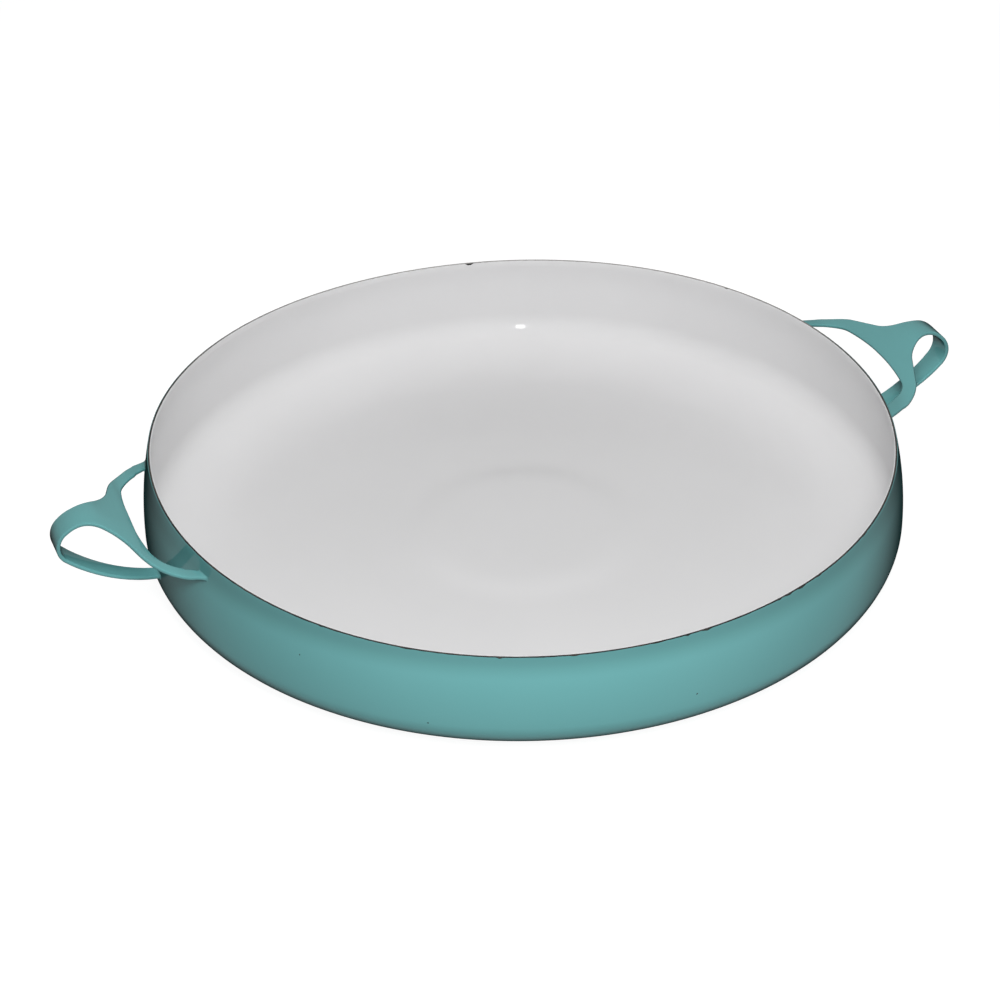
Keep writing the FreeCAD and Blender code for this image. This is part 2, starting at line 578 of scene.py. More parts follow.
HAND_FORMED = {
    Side.RIGHT: (
        Nudge(4.0, (0.0, 2.0, 0.0), (0.0, 0.5, 0.0), 1.9, 0.0),
        Nudge(15.0, (0.0, 1.6, 0.0), (0.0, 0.9, 0.0), 1.6, 0.0),
        Nudge(28.0, (0.2, 0.6, 0.0), (0.3, 1.0, 0.0), 0.3, 0.0),
        Nudge(41.0, (0.9, 1.6, 0.0), (0.8, 1.8, 0.0)),
        Nudge(56.0, (1.1, 2.0, 0.0), (1.0, 2.1, 0.0)),
        Nudge(70.0, (0.0, 0.8, 0.0), (0.0, 0.8, 0.0)),
        Nudge(95.0, (0.0, 0.4, 0.0), (0.0, 0.4, 0.0)),
        Nudge(135.0, (0.0, -1.3, 0.0), (0.0, -1.3, 0.0)),
    ),
    Side.LEFT: (
        Nudge(4.0, (0.0, -0.5, -1.3), (0.0, 0.5, -0.5), 0.7, 0.6),
        Nudge(15.0, (0.0, -1.0, -2.0), (0.0, 0.9, -0.3), 0.9, 0.6),
        Nudge(23.0, (0.0, -1.0, -1.9), (0.0, 0.5, -0.2), 0.8, 0.5),
        Nudge(34.0, (0.0, -0.8, -1.4), (-0.3, -0.2, -0.1), 0.2, 0.0),
        Nudge(42.0, (0.0, -0.7, -0.9), (0.0, -0.3, -0.2)),
        Nudge(56.0, (0.0, -0.9, -0.5), (0.0, 0.0, -0.2)),
        Nudge(70.0, (0.0, -0.6, 0.0), (0.0, -0.3, 0.0)),
        Nudge(95.0, (0.0, 0.0, 0.0), (0.0, 0.0, 0.0)),
        Nudge(135.0, (0.0, -0.6, -0.8), (0.0, -0.6, -0.8)),
    ),
}


@dataclass(frozen=True)
class StrapForm:
    """Sizes of the folded strap handle, in millimetres, with u outward from the wall and v along the rim."""

    thickness: float = 2.0
    edge_round: float = 0.8
    foot_half_span: float = 53.0
    foot_flare: float = 7.4
    shoulder_reach: float = 21.7
    shoulder_radius: float = 26.0
    neck_reach: float = 36.4
    neck_radius: float = 19.0
    tongue_half_width: float = 7.3
    arm_width: float = 5.5
    window_reach: float = 15.4
    window_margin: float = 5.2
    window_round_share: float = 0.47
    bow_share: float = 0.4       # share of the window's far edge that its bowed middle takes
    bow_slope: float = 11.2      # degrees that the edge turns back on either side of the bow
    bow_fill: float = 0.75       # share of the middle that the bow's round takes
    band_half_width: float = 4.2
    foot_drop: float = 3.9
    foot_slope: float = 5.1
    arm_run: float = 14.8
    lift: Leg = Leg(angle=22.3, radius=24.0)
    tongue: Leg = Leg(length=16.6)
    crown: Leg = Leg(angle=-65.9, radius=16.0)
    nose: Leg = Leg(length=1.2)
    fold: Leg = Leg(angle=-96.0, radius=10.6)
    band: Leg = Leg(angle=-37.2, radius=75.0)
    overrun: float = 4.0
    foot_hold: float = 10.0      # the arms are drawn to the wall over this length
    weld_radius: float = 1.4     # fillet of enamel round each welded end
    weld_embed: float = 0.25
    weld_step: float = 0.6       # the strap is divided this finely near the wall
    weld_divisions: int = 23
    bend_step: float = 3.5       # degrees between divisions of a bend
    run_step: float = 3.0        # millimetres between divisions of a straight stretch
    corner_segments: int = 18
    edge_segments: int = 4
    sharp_turn: float = 60.0     # edges that turn by more degrees than this are rounded
    tail: float = 2.0            # blank past the band's end
    edge_zone: float = 2.5       # an arm's edges move apart over this width on either side of its middle
    flare_zone: float = 2.2
    plate_blend: float = 16.0    # width over which hand forming passes from the near to the far side

    @property
    def shoulder_half_span(self) -> float:
        """Outer edge at the shoulder corner."""
        return self.foot_half_span - self.foot_flare

    @property
    def arm_spread(self) -> float:
        """Slope of the arms' outer edge in the plan."""
        return self.foot_flare / self.shoulder_reach

    @property
    def window_half_span(self) -> float:
        """Half the width of the window, before its corners are rounded."""
        return self.shoulder_half_span - self.window_margin

    @property
    def bow_half_span(self) -> float:
        """Half the width of the bowed middle of the window's far edge."""
        return self.bow_share * self.window_half_span


class StrapLine:
    """The strap's middle line in the side view, by length from its start inside the wall."""

    def __init__(self, start: Vector, heading: float, legs: tuple[Leg, ...]) -> None:
        """Lay the legs end to end.

        Args:
            start: the first point, in millimetres.
            heading: the first direction, in degrees above +X.
            legs: the stretches in order.
        """
        self.stretches: list[tuple[float, Vector, float, Leg]] = []
        self.length = 0.0
        place, way = start, math.radians(heading)
        for leg in legs:
            self.stretches.append((self.length, place, way, leg))
            place, way = self.after(place, way, leg, leg.span)
            self.length += leg.span

    @staticmethod
    def after(place: Vector, way: float, leg: Leg, run: float) -> tuple[Vector, float]:
        """Follow one leg.

        Args:
            place: where the leg starts.
            way: its first direction, in radians.
            leg: the leg.
            run: the length followed.

        Returns:
            The place and the direction there.
        """
        if not leg.radius:
            return place + side_point(math.cos(way), math.sin(way)) * run, way
        inward = math.copysign(1.0, leg.angle)
        turn = inward * run / leg.radius
        centre = place + side_point(-math.sin(way), math.cos(way)) * (leg.radius * inward)
        way += turn
        return centre - side_point(-math.sin(way), math.cos(way)) * (leg.radius * inward), way

    def at(self, run: float) -> tuple[Vector, Vector]:
        """The middle line at a length.

        Args:
            run: length from the start.

        Returns:
            The point, and the direction square to the sheet on its upper side.
        """
        start, place, way, leg = next(
            (part for part in reversed(self.stretches) if part[0] <= run), self.stretches[0])
        place, way = self.after(place, way, leg, run - start)
        return place, side_point(-math.sin(way), math.cos(way))

    def length_at(self, x: float) -> float:
        """Find a place on the strap's upper half.

        Args:
            x: distance from the pan's axis.

        Returns:
            The length along the middle line.
        """
        low, high = 0.0, self.outermost()
        for _ in range(40):
            middle = (low + high) / 2
            if self.at(middle)[0].x < x:
                low = middle
            else:
                high = middle
        return (low + high) / 2

    def outermost(self) -> float:
        """Length at which the middle line is furthest from the pan."""
        steps = 2000
        runs = (self.length * step / steps for step in range(steps + 1))
        return max(runs, key=lambda run: self.at(run)[0].x)

    def stations(self, bend_step: float, run_step: float) -> list[float]:
        """Lengths at which the sheet is divided, closer together where it bends.

        Args:
            bend_step: degrees between divisions of a bend.
            run_step: millimetres between divisions of a straight stretch.

        Returns:
            The lengths in order.
        """
        places = []
        for start, _, _, leg in self.stretches:
            pieces = math.ceil(abs(leg.angle) / bend_step) if leg.radius else math.ceil(leg.length / run_step)
            places += [start + leg.span * step / pieces for step in range(pieces)]
        return [place for place in places if place > 0.0]


@dataclass
class StrapHandle:
    """A handle folded from one flat strap: two arms, a plate, a tongue and a returning band."""

    side: Side
    form: StrapForm
    pan: PanForm = PanForm()
    line: StrapLine = field(init=False)
    wall_line: float = field(init=False)
    end_run: float = field(init=False)

    def __post_init__(self) -> None:
        """Lay the strap's middle line and find where the band comes back to the wall."""
        form = self.form
        self.wall_line = math.sqrt(self.pan.rim_radius ** 2 - form.foot_half_span ** 2)
        slope = math.radians(form.foot_slope)
        start = side_point(self.wall_line - form.overrun,
                           self.pan.depth - form.foot_drop - form.overrun * math.tan(slope))
        arm = Leg(length=form.overrun / math.cos(slope) + form.arm_run)
        legs = (arm, form.lift, form.tongue, form.crown, form.nose, form.fold, form.band, Leg(BAND_TAIL))
        self.line = StrapLine(start, form.foot_slope, legs)
        self.end_run = self.wall_run(0.0, 0.0, self.line.length - BAND_SEARCH, self.line.length)

    def wall_run(self, v: float, lift: float, outside: float, inside: float) -> float:
        """Length at which a fibre of the strap meets the wall.

        Args:
            v: the fibre's place across the strap.
            lift: its height over the sheet's middle.
            outside: a length at which it is clear of the wall.
            inside: a length at which it has passed into the wall.

        Returns:
            The length, a little past the wall's face.
        """
        for _ in range(30):
            middle = (outside + inside) / 2
            place, square = self.line.at(middle)
            place = place + square * lift
            angle = math.atan2(v, place.x) + math.radians(self.side.value)
            if math.hypot(place.x, v) > self.pan.outer_radius(place.z, angle) - self.form.weld_embed:
                outside = middle
            else:
                inside = middle
        return (outside + inside) / 2

    def flat_blank(self) -> BMesh:
        """Cut the flat strap: half the outline, its corners rounded, mirrored and given its thickness.

        Returns:
            A bmesh with length along X, width along Y and thickness along Z.
        """
        form, line = self.form, self.line
        tip_run = line.outermost()
        last = self.end_run + form.tail
        spread = (form.tongue_half_width - form.band_half_width) / (self.end_run - tip_run)
        arm_inside = form.foot_half_span - form.arm_width * math.hypot(1.0, form.arm_spread)
        bow_x = self.pan.rim_radius + form.window_reach
        slope = math.radians(form.bow_slope)
        corner_x = bow_x - (form.window_half_span - form.bow_half_span) * math.tan(slope)
        inner_spread = (arm_inside - form.window_half_span) / (corner_x - self.wall_line)
        outline = [
            (0.0, form.foot_half_span + form.arm_spread * form.overrun),
            (line.length_at(self.wall_line + form.shoulder_reach), form.shoulder_half_span),
            (line.length_at(self.wall_line + form.neck_reach), form.tongue_half_width),
            (tip_run, form.tongue_half_width),
            (last, form.band_half_width - spread * (last - self.end_run)),
            (last, 0.0),
            (line.length_at(bow_x), 0.0),
            (line.length_at(bow_x), form.bow_half_span),
            (line.length_at(corner_x), form.window_half_span),
            (0.0, arm_inside + inner_spread * form.overrun),
        ]
        rounds = ((1, form.shoulder_radius), (2, form.neck_radius),
                  (7, form.bow_fill * form.bow_half_span / math.tan(slope / 2)),
                  (8, form.window_round_share * form.window_half_span))
        mesh = bmesh.new()
        corners = [mesh.verts.new((run, v, 0.0)) for run, v in outline]
        mesh.faces.new(corners)
        for number, radius in rounds:
            before, here, after = (Vector(outline[(number + step) % len(outline)]) for step in (-1, 0, 1))
            turn = (here - before).angle(after - here)
            bmesh.ops.bevel(
                mesh, geom=[corners[number]], offset=radius * math.tan(turn / 2), segments=form.corner_segments,
                profile=0.5, affect="VERTICES", material=-1, clamp_overlap=False,
            )
        add_mirror_image(mesh, "Y")
        bmesh.ops.recalc_face_normals(mesh, faces=mesh.faces[:])
        flat = mesh.faces[:]
        bmesh.ops.translate(mesh, verts=mesh.verts[:], vec=Vector((0.0, 0.0, -form.thickness / 2)))
        grown = bmesh.ops.extrude_face_region(mesh, geom=flat)
        lifted = [part for part in grown["geom"] if isinstance(part, BMVert)]
        bmesh.ops.translate(mesh, verts=lifted, vec=Vector((0.0, 0.0, form.thickness)))
        bmesh.ops.recalc_face_normals(mesh, faces=mesh.faces[:])
        return mesh

    def round_edges(self, mesh: BMesh) -> None:
        """Round the strap's long edges, and leave the ends that go into the wall.

        Args:
            mesh: the flat strap.
        """
        form = self.form
        sharp = math.radians(form.sharp_turn)
        runs = [vertex.co.x for vertex in mesh.verts]
        stops = (min(runs), max(runs))
        long_edges = []
        for edge in mesh.edges:
            ends = [vertex.co for vertex in edge.verts]
            upright = abs(ends[0].z - ends[1].z) > WELD_MERGE
            at_an_end = any(all(abs(end.x - stop) < 0.01 for end in ends) for stop in stops)
            if not upright and not at_an_end and edge.calc_face_angle(0.0) >= sharp:
                long_edges.append(edge)
        bmesh.ops.bevel(
            mesh, geom=long_edges, offset=form.edge_round, segments=form.edge_segments, profile=0.5,
            affect="EDGES", material=-1, clamp_overlap=True, loop_slide=True,
        )

    def divide(self, mesh: BMesh) -> None:
        """Cut the flat strap across wherever it will bend or be drawn to the wall.

        Args:
            mesh: the flat strap.
        """
        form = self.form
        near_wall = [form.weld_step * step for step in range(1, form.weld_divisions + 1)]
        near_end = [self.end_run + form.tail - run for run in near_wall]
        bends = self.line.stations(form.bend_step, form.run_step)
        for run in sorted(bends + near_wall + near_end):
            bmesh.ops.bisect_plane(mesh, geom=whole(mesh), dist=1e-5, plane_co=Vector((run, 0.0, 0.0)),
                                   plane_no=Vector((1.0, 0.0, 0.0)))

    def flare(self, away: float) -> float:
        """How far the enamel round a weld stands out from the strap.

        Args:
            away: distance from the wall.

        Returns:
            The millimetres on each side.
        """
        radius = self.form.weld_radius
        if away >= radius:
            return 0.0
        return radius - math.sqrt(max(radius ** 2 - (radius - max(away, 0.0)) ** 2, 0.0))

    def fold(self, mesh: BMesh) -> None:
        """Bend the flat strap along its middle line, with each end drawn to the wall and flared into it.

        Args:
            mesh: the flat strap.
        """
        form = self.form
        middle_v = form.foot_half_span - form.arm_width / 2
        arm_hold = form.overrun + form.foot_hold
        band_hold = self.end_run - form.foot_hold
        last = self.end_run + form.tail
        for vertex in mesh.verts:
            run, v, lift = vertex.co
            moved, wide = self.hand_form(run, v)
            arm_v = middle_v - form.arm_spread * (run - form.overrun)
            v += math.copysign(wide, v) * held((abs(v) - arm_v) / form.edge_zone, -1.0, 1.0)
            if run < arm_hold or run > band_hold:
                if run < arm_hold:
                    inside, blank_end, stop, centre_v = 0.0, 0.0, arm_hold, math.copysign(middle_v, v)
                else:
                    inside, blank_end, stop, centre_v = self.line.length, last, band_hold, 0.0
                share = (run - stop) / (blank_end - stop)
                swell = self.flare(abs(self.wall_run(v, lift, stop, inside) - stop) * (1.0 - share))
                v += swell * held((v - centre_v) / form.flare_zone, -1.0, 1.0)
                lift += swell * held(lift / (form.thickness / 2), -1.0, 1.0)
                run = stop + (self.wall_run(v, lift, stop, inside) - stop) * share
            place, square = self.line.at(run)
            vertex.co = Vector((place.x, v, place.z)) + square * lift + moved

    def hand_form(self, run: float, v: float) -> tuple[Vector, float]:
        """What hand forming did to a point of the flat strap.

        Args:
            run: the point's length along the strap.
            v: its place across the strap.

        Returns:
            How far it moved outward, along +v and up, and how much wider its arm became on either side.
        """
        to_far = 1.0 if self.side is Side.RIGHT else -1.0
        nudges = HAND_FORMED[self.side]
        after = next((number for number, nudge in enumerate(nudges) if nudge.run > run), len(nudges) - 1)
        last, following = nudges[max(after - 1, 0)], nudges[after]
        share = held((run - last.run) / max(following.run - last.run, WELD_MERGE), 0.0, 1.0)
        share = share * share * (3.0 - 2.0 * share)
        near = Vector(last.near).lerp(Vector(following.near), share)
        far = Vector(last.far).lerp(Vector(following.far), share)
        across = held(0.5 + v * to_far / self.form.plate_blend, 0.0, 1.0)
        moved = near.lerp(far, across)
        wide = (last.far_wide if across > 0.5 else last.near_wide) * (1.0 - share)
        wide += (following.far_wide if across > 0.5 else following.near_wide) * share
        return Vector((moved.x, moved.y * to_far, moved.z)), wide

    def build(self, finishes: Finishes) -> Object:
        """Cut, round, divide and fold the strap, and turn it to its side of the pan.

        Args:
            finishes: the materials of the pan.

        Returns:
            The handle, riding on the pan's body.
        """
        side = self.side.name.lower()
        mesh = self.flat_blank()
        self.round_edges(mesh)
        self.divide(mesh)
        self.fold(mesh)
        bmesh.ops.rotate(mesh, verts=mesh.verts[:], cent=Vector(),
                         matrix=turned_about("Z", self.side.value).to_3x3())
        bmesh.ops.recalc_face_normals(mesh, faces=mesh.faces[:])
        piece = finished(mesh, f"strap_handle_{side}")
        return dressed(piece, finishes, Slot.TEAL, f"handle_{side}")


# Finishes

class NodePad:
    """Places nodes in a tree and joins them."""

    def __init__(self, tree: NodeTree) -> None:
        """Start with an empty tree.

        Args:
            tree: the tree to fill, whose own nodes are removed.
        """
        self.tree = tree
        tree.nodes.clear()

    def add(self, kind: str, inputs: dict | None = None, **settings: object) -> Node:
        """Place one node.

        Args:
            kind: the node's type.
            inputs: values or sockets for its inputs, by name or number.
            settings: properties set on the node itself.

        Returns:
            The node.
        """
        node = self.tree.nodes.new(kind)
        for name, value in settings.items():
            setattr(node, name, value)
        for key, value in (inputs or {}).items():
            if isinstance(value, NodeSocket):
                self.tree.links.new(value, node.inputs[key])
            else:
                node.inputs[key].default_value = value
        return node

    def place(self) -> NodeSocket:
        """The Object coordinates."""
        return self.add("ShaderNodeTexCoord").outputs["Object"]

    def noise(self, place: NodeSocket, scale: object, detail: float, roughness: float = 0.5) -> NodeSocket:
        """A Noise Texture's value."""
        return self.add("ShaderNodeTexNoise", {"Vector": place, "Scale": scale, "Detail": detail,
                                               "Roughness": roughness}).outputs[0]

    def math(self, operation: str, *values: object) -> NodeSocket:
        """A Math node's result."""
        return self.add("ShaderNodeMath", dict(enumerate(values)), operation=operation).outputs[0]

    def spread(self, value: NodeSocket, low: float, high: float,
               to_low: float = 0.0, to_high: float = 1.0) -> NodeSocket:
        """A value mapped smoothly from one range to another, and held at its ends."""
        node = self.add("ShaderNodeMapRange", {"Value": value, "From Min": low, "From Max": high,
                                               "To Min": to_low, "To Max": to_high},
                        interpolation_type="SMOOTHSTEP")
        return node.outputs["Result"]

    def blend(self, share: object, first: object, second: object) -> NodeSocket:
        """Mix two colours.

        Args:
            share: how much of the second, as a number or a socket.
            first: the first colour, as a Tone or a socket.
            second: the second colour.

        Returns:
            The mixed colour.
        """
        node = self.add("ShaderNodeMix", data_type="RGBA")
        for key, value in (("Factor", share), ("A", first), ("B", second)):
            socket = next(s for s in node.inputs if s.name == key and s.enabled)
            if isinstance(value, NodeSocket):
                self.tree.links.new(value, socket)
            else:
                socket.default_value = (*value, 1.0) if isinstance(value, tuple) else value
        return next(s for s in node.outputs if s.enabled)


def new_material(name: str) -> tuple[Material, NodePad]:
    """Start a material.

    Args:
        name: its name.

    Returns:
        The material, and a pad to fill it.
    """
    made = bpy.data.materials.new(name)
    made.use_nodes = True
    return made, NodePad(made.node_tree)


def socket_group(name: str, inputs: dict[str, float],
                 outputs: dict[str, str]) -> tuple[NodeTree, NodePad, Node]:
    """Start a shader node group.

    Args:
        name: the group's name.
        inputs: its number inputs with their defaults.
        outputs: its outputs with their socket types.

    Returns:
        The group, a pad to fill it and its input node.
    """
    tree = bpy.data.node_groups.new(name, "ShaderNodeTree")
    for label, value in inputs.items():
        made = tree.interface.new_socket(label, in_out="INPUT", socket_type="NodeSocketFloat")
        made.default_value = value
    for label, kind in outputs.items():
        tree.interface.new_socket(label, in_out="OUTPUT", socket_type=kind)
    pad = NodePad(tree)
    return tree, pad, pad.add("NodeGroupInput")


def glaze_group() -> NodeTree:
    """Make the group for fired enamel: slow drifts of tone, a fine stipple, and the ripple of its surface.

    Returns:
        The group.
    """
    tree, pad, given = socket_group(
        "fired_glaze", {"Drift Scale": 9.0, "Stipple Scale": 520.0, "Ripple": 0.2},
        {"Drift": "NodeSocketFloat", "Stipple": "NodeSocketFloat", "Normal": "NodeSocketVector"})
    place = pad.place()
    drift = pad.noise(place, given.outputs["Drift Scale"], 3.0, 0.55)
    stipple = pad.noise(place, given.outputs["Stipple Scale"], 2.0, 0.6)
    swell = pad.noise(place, 46.0, 2.0, 0.4)
    peel = pad.noise(place, 260.0, 1.0)
    height = pad.math("ADD", swell, pad.math("MULTIPLY", peel, 0.12))
    bump = pad.add("ShaderNodeBump", {
        "Strength": given.outputs["Ripple"], "Distance": 0.0012, "Height": height})
    pad.add("NodeGroupOutput", {"Drift": drift, "Stipple": stipple, "Normal": bump.outputs[0]})
    return tree


def speck_group() -> NodeTree:
    """Make the group for pinholes and small dark specks scattered thinly over a glaze.

    Returns:
        The group.
    """
    tree, pad, given = socket_group(
        "pinholes", {"Scale": 60.0, "Size": 0.05, "Share": 0.1}, {"Mask": "NodeSocketFloat"})
    place = pad.place()
    cells = pad.add("ShaderNodeTexVoronoi", {"Vector": place, "Scale": given.outputs["Scale"],
                                             "Randomness": 1.0}, feature="F1")
    near = pad.math("LESS_THAN", cells.outputs["Distance"], given.outputs["Size"])
    chance = pad.add("ShaderNodeSeparateColor", {"Color": cells.outputs["Color"]})
    chosen = pad.math("LESS_THAN", chance.outputs[0], given.outputs["Share"])
    pad.add("NodeGroupOutput", {"Mask": pad.math("MULTIPLY", near, chosen)})
    return tree


@dataclass(frozen=True)
class Mark:
    """A single small flaw at a point of the pan, in millimetres."""

    x: float
    y: float
    z: float
    size: float


@dataclass(frozen=True)
class EnamelFinish:
    """A fired enamel: a satin body under a fine gloss."""

    name: str
    tone: Tone
    drift_tone: Tone
    speck_tone: Tone
    roughness: tuple[float, float]
    drift_scale: float
    ripple: float
    speck_scale: float
    speck_size: float
    speck_share: float
    specular: float = 0.08
    gloss: float = 0.3           # weight of the thin gloss
    painted_rim_shade: float = 1.0       # painted shade: the tone in a band under the rim, as a share
    painted_strap_shade: float = 1.0     # the same painted shade on the handles
    painted_floor_shade: float = 1.0     # painted shade: the tone on the floor of the bowl, as a share of the wall's
    painted_edge_shade: float = 0.0      # painted shade: how much darker the colour is made where a face is seen edge on
    rim_band: tuple[float, float] = (0.047, 0.059)      # heights in metres over which each shade sets in
    floor_band: tuple[float, float] = (0.01, 0.045)
    strap_band: tuple[float, float] = (0.194, 0.202)    # the same, as distances from the pan's axis
    edge_band: tuple[float, float] = (0.52, 0.92)       # how far a face is turned from the eye
    drift_band: tuple[float, float] = (0.35, 0.68)      # parts of the noises that show
    stipple_band: tuple[float, float] = (0.3, 0.7)
    speck_roughness: float = 0.3
    marks: tuple[Mark, ...] = ()

    def flaws(self, pad: NodePad) -> list[NodeSocket]:
        """Mask the single flaws, with ragged outlines.

        Args:
            pad: the material's nodes.

        Returns:
            One mask for each mark.
        """
        if not self.marks:
            return []
        place, masks = pad.place(), []
        ragged = pad.noise(place, 900.0, 2.0)
        for mark in self.marks:
            centre = (mark.x * MM, mark.y * MM, mark.z * MM)
            away = pad.add("ShaderNodeVectorMath", {0: place, 1: centre}, operation="DISTANCE")
            edge = pad.math("MULTIPLY", ragged, 2.0 * mark.size * MM)
            masks.append(pad.math("LESS_THAN", away.outputs["Value"], edge))
        return masks

    def material(self, glaze_tree: NodeTree, speck_tree: NodeTree) -> Material:
        """Build the material.

        Args:
            glaze_tree: the group for fired enamel.
            speck_tree: the group for pinholes and specks.

        Returns:
            The material.
        """
        made, pad = new_material(self.name)
        glaze = pad.add("ShaderNodeGroup", {"Drift Scale": self.drift_scale, "Ripple": self.ripple},
                        node_tree=glaze_tree)
        pits = pad.add("ShaderNodeGroup", {"Scale": self.speck_scale, "Size": self.speck_size,
                                           "Share": self.speck_share}, node_tree=speck_tree)
        place = pad.place()
        height = pad.add("ShaderNodeSeparateXYZ", {0: place}).outputs["Z"]
        level = pad.add("ShaderNodeVectorMath", {0: place, 1: (1.0, 1.0, 0.0)}, operation="MULTIPLY")
        radius = pad.add("ShaderNodeVectorMath", {0: level.outputs[0]}, operation="LENGTH").outputs["Value"]
        facing = pad.add("ShaderNodeLayerWeight", {"Blend": 0.5}).outputs["Facing"]
        edge_on = pad.spread(facing, *self.edge_band)
        # Painted shade: in a band under the rim the colour is darkened, to one share on the pan and another on
        # the handles.
        shade_share = pad.spread(radius, *self.strap_band, self.painted_rim_shade, self.painted_strap_shade)
        colour = pad.blend(pad.spread(glaze.outputs["Drift"], *self.drift_band), self.tone, self.drift_tone)
        colour = pad.blend(pad.spread(height, *self.rim_band), colour, pad.blend(shade_share, BLACK, colour))
        # Painted shade: the lining is made darker on the floor of the bowl than on its walls.
        colour = pad.blend(pad.spread(height, *self.floor_band, self.painted_floor_shade, 1.0), BLACK, colour)
        # Painted shade: the colour is darkened where a face is seen edge on.
        colour = pad.blend(pad.math("MULTIPLY", edge_on, self.painted_edge_shade), colour, BLACK)
        specks = pits.outputs["Mask"]
        for flaw in self.flaws(pad):
            specks = pad.math("MAXIMUM", specks, flaw)
        colour = pad.blend(specks, colour, self.speck_tone)
        rough = pad.spread(glaze.outputs["Stipple"], *self.stipple_band, *self.roughness)
        rough = pad.math("ADD", rough, pad.math("MULTIPLY", specks, self.speck_roughness))
        shader = pad.add("ShaderNodeBsdfPrincipled", {
            "Base Color": colour, "Roughness": rough, "Normal": glaze.outputs["Normal"],
            "IOR": 1.5, "Specular IOR Level": self.specular,
            "Coat Weight": pad.math("MULTIPLY", pad.math("SUBTRACT", 1.0, edge_on), self.gloss),
            "Coat Roughness": 0.05, "Coat IOR": 1.5})
        pad.add("ShaderNodeOutputMaterial", {"Surface": shader.outputs[0]})
        return made


@dataclass(frozen=True)
class GroundCoatFinish:
    """The dark first coat on the steel, brown where it is worn, with a painted highlight on the top of the rim
    at the back of the pan.
    """

    tone: Tone = (0.02, 0.021, 0.021)
    worn_tone: Tone = (0.055, 0.047, 0.04)
    # Painted highlight: its tone, and the way round the pan in which it lies.
    highlight_tone: Tone = (0.36, 0.35, 0.34)
    highlight_way: Tone = (0.36, 0.93, 0.0)
    roughness: tuple[float, float] = (0.4, 0.65)

    def material(self, glaze_tree: NodeTree) -> Material:
        """Build the material.

        Args:
            glaze_tree: the group for fired enamel.

        Returns:
            The material.
        """
        made, pad = new_material("dark_ground_coat")
        glaze = pad.add("ShaderNodeGroup", {"Drift Scale": 70.0, "Stipple Scale": 900.0, "Ripple": 0.4},
                        node_tree=glaze_tree)
        worn = pad.math("MULTIPLY", pad.spread(glaze.outputs["Drift"], 0.45, 0.62),
                        pad.spread(glaze.outputs["Stipple"], 0.35, 0.65))
        colour = pad.blend(worn, self.tone, self.worn_tone)
        place = pad.add("ShaderNodeTexCoord")
        back = pad.add("ShaderNodeVectorMath", {0: place.outputs["Object"], 1: self.highlight_way},
                       operation="DOT_PRODUCT").outputs["Value"]
        upward = pad.add("ShaderNodeSeparateXYZ", {0: place.outputs["Normal"]}).outputs["Z"]
        # Painted highlight: paler where the rim's top faces up at the back of the pan.
        painted_highlight = pad.math("MULTIPLY", pad.spread(back, 0.03, 0.17), pad.spread(upward, 0.1, 0.6))
        colour = pad.blend(painted_highlight, colour, self.highlight_tone)
        rough = pad.spread(glaze.outputs["Stipple"], 0.3, 0.7, *self.roughness)
        shader = pad.add("ShaderNodeBsdfPrincipled", {
            "Base Color": colour, "Roughness": rough, "Specular IOR Level": 0.2,
            "Normal": glaze.outputs["Normal"]})
        pad.add("ShaderNodeOutputMaterial", {"Surface": shader.outputs[0]})
        return made


def make_finishes() -> Finishes:
    """Build every finish once, on the node groups that they share.

    Returns:
        The materials by slot.
    """
    glaze, specks = glaze_group(), speck_group()
    teal = EnamelFinish(
        name="satin_teal_enamel", tone=(0.158, 0.446, 0.452), drift_tone=(0.168, 0.458, 0.464),
        speck_tone=(0.05, 0.09, 0.09), roughness=(0.32, 0.42), drift_scale=8.0, ripple=0.1,
        speck_scale=60.0, speck_size=0.016, speck_share=0.03, specular=0.0,
        # Painted shade: darker in a band under the rim, on the handles and where a face is seen edge on.
        painted_rim_shade=0.7, painted_strap_shade=0.82, painted_edge_shade=0.75,
        marks=(Mark(-155.9, -112.8, 42.6, 0.5), Mark(-57.5, -183.3, 45.4, 0.4),
               Mark(-56.6, -183.4, 47.9, 0.4), Mark(-110.4, -158.8, 22.6, 0.45),
               Mark(8.0, -193.2, 28.4, 0.4)))
    white = EnamelFinish(
        name="satin_white_enamel", tone=(0.79, 0.788, 0.793), drift_tone=(0.774, 0.772, 0.777),
        speck_tone=(0.45, 0.42, 0.38), roughness=(0.3, 0.4), drift_scale=7.0, ripple=0.08,
        # Painted shade: darker on the floor of the bowl.
        speck_scale=30.0, speck_size=0.01, speck_share=0.04, painted_floor_shade=0.895)
    return {Slot.TEAL: teal.material(glaze, specks), Slot.WHITE: white.material(glaze, specks),
            Slot.GROUND: GroundCoatFinish().material(glaze)}


def dressed(piece: Object, finishes: Finishes, slot: Slot, node: str) -> Object:
    """Give a piece the finish of its slot and its body, and hide the CAD node that it stands for.

    Args:
        piece: the finished piece.
        finishes: the pan's materials.
        slot: which finish it takes.
        node: the CAD node that it replaces.

    Returns:
        The piece.
    """
    piece.data.materials.append(finishes[slot])
    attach(piece, BODY)
    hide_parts(node)
    return piece


# The studio

@dataclass(frozen=True)
class Lamp:
    """An oval lamp, in watts and metres."""

    name: str
    power: float
    width: float
    tall: float

    def build(self, place: Matrix) -> Object:
        """Hang the lamp.

        Args:
            place: its position and aim.

        Returns:
            The lamp.
        """
        data = bpy.data.lights.new(self.name, "AREA")
        data.shape = "DISK" if self.width == self.tall else "ELLIPSE"
        data.size, data.size_y = self.width, self.tall
        data.energy = self.power
        lamp = placed(self.name, data)
        lamp.matrix_world = place
        return lamp


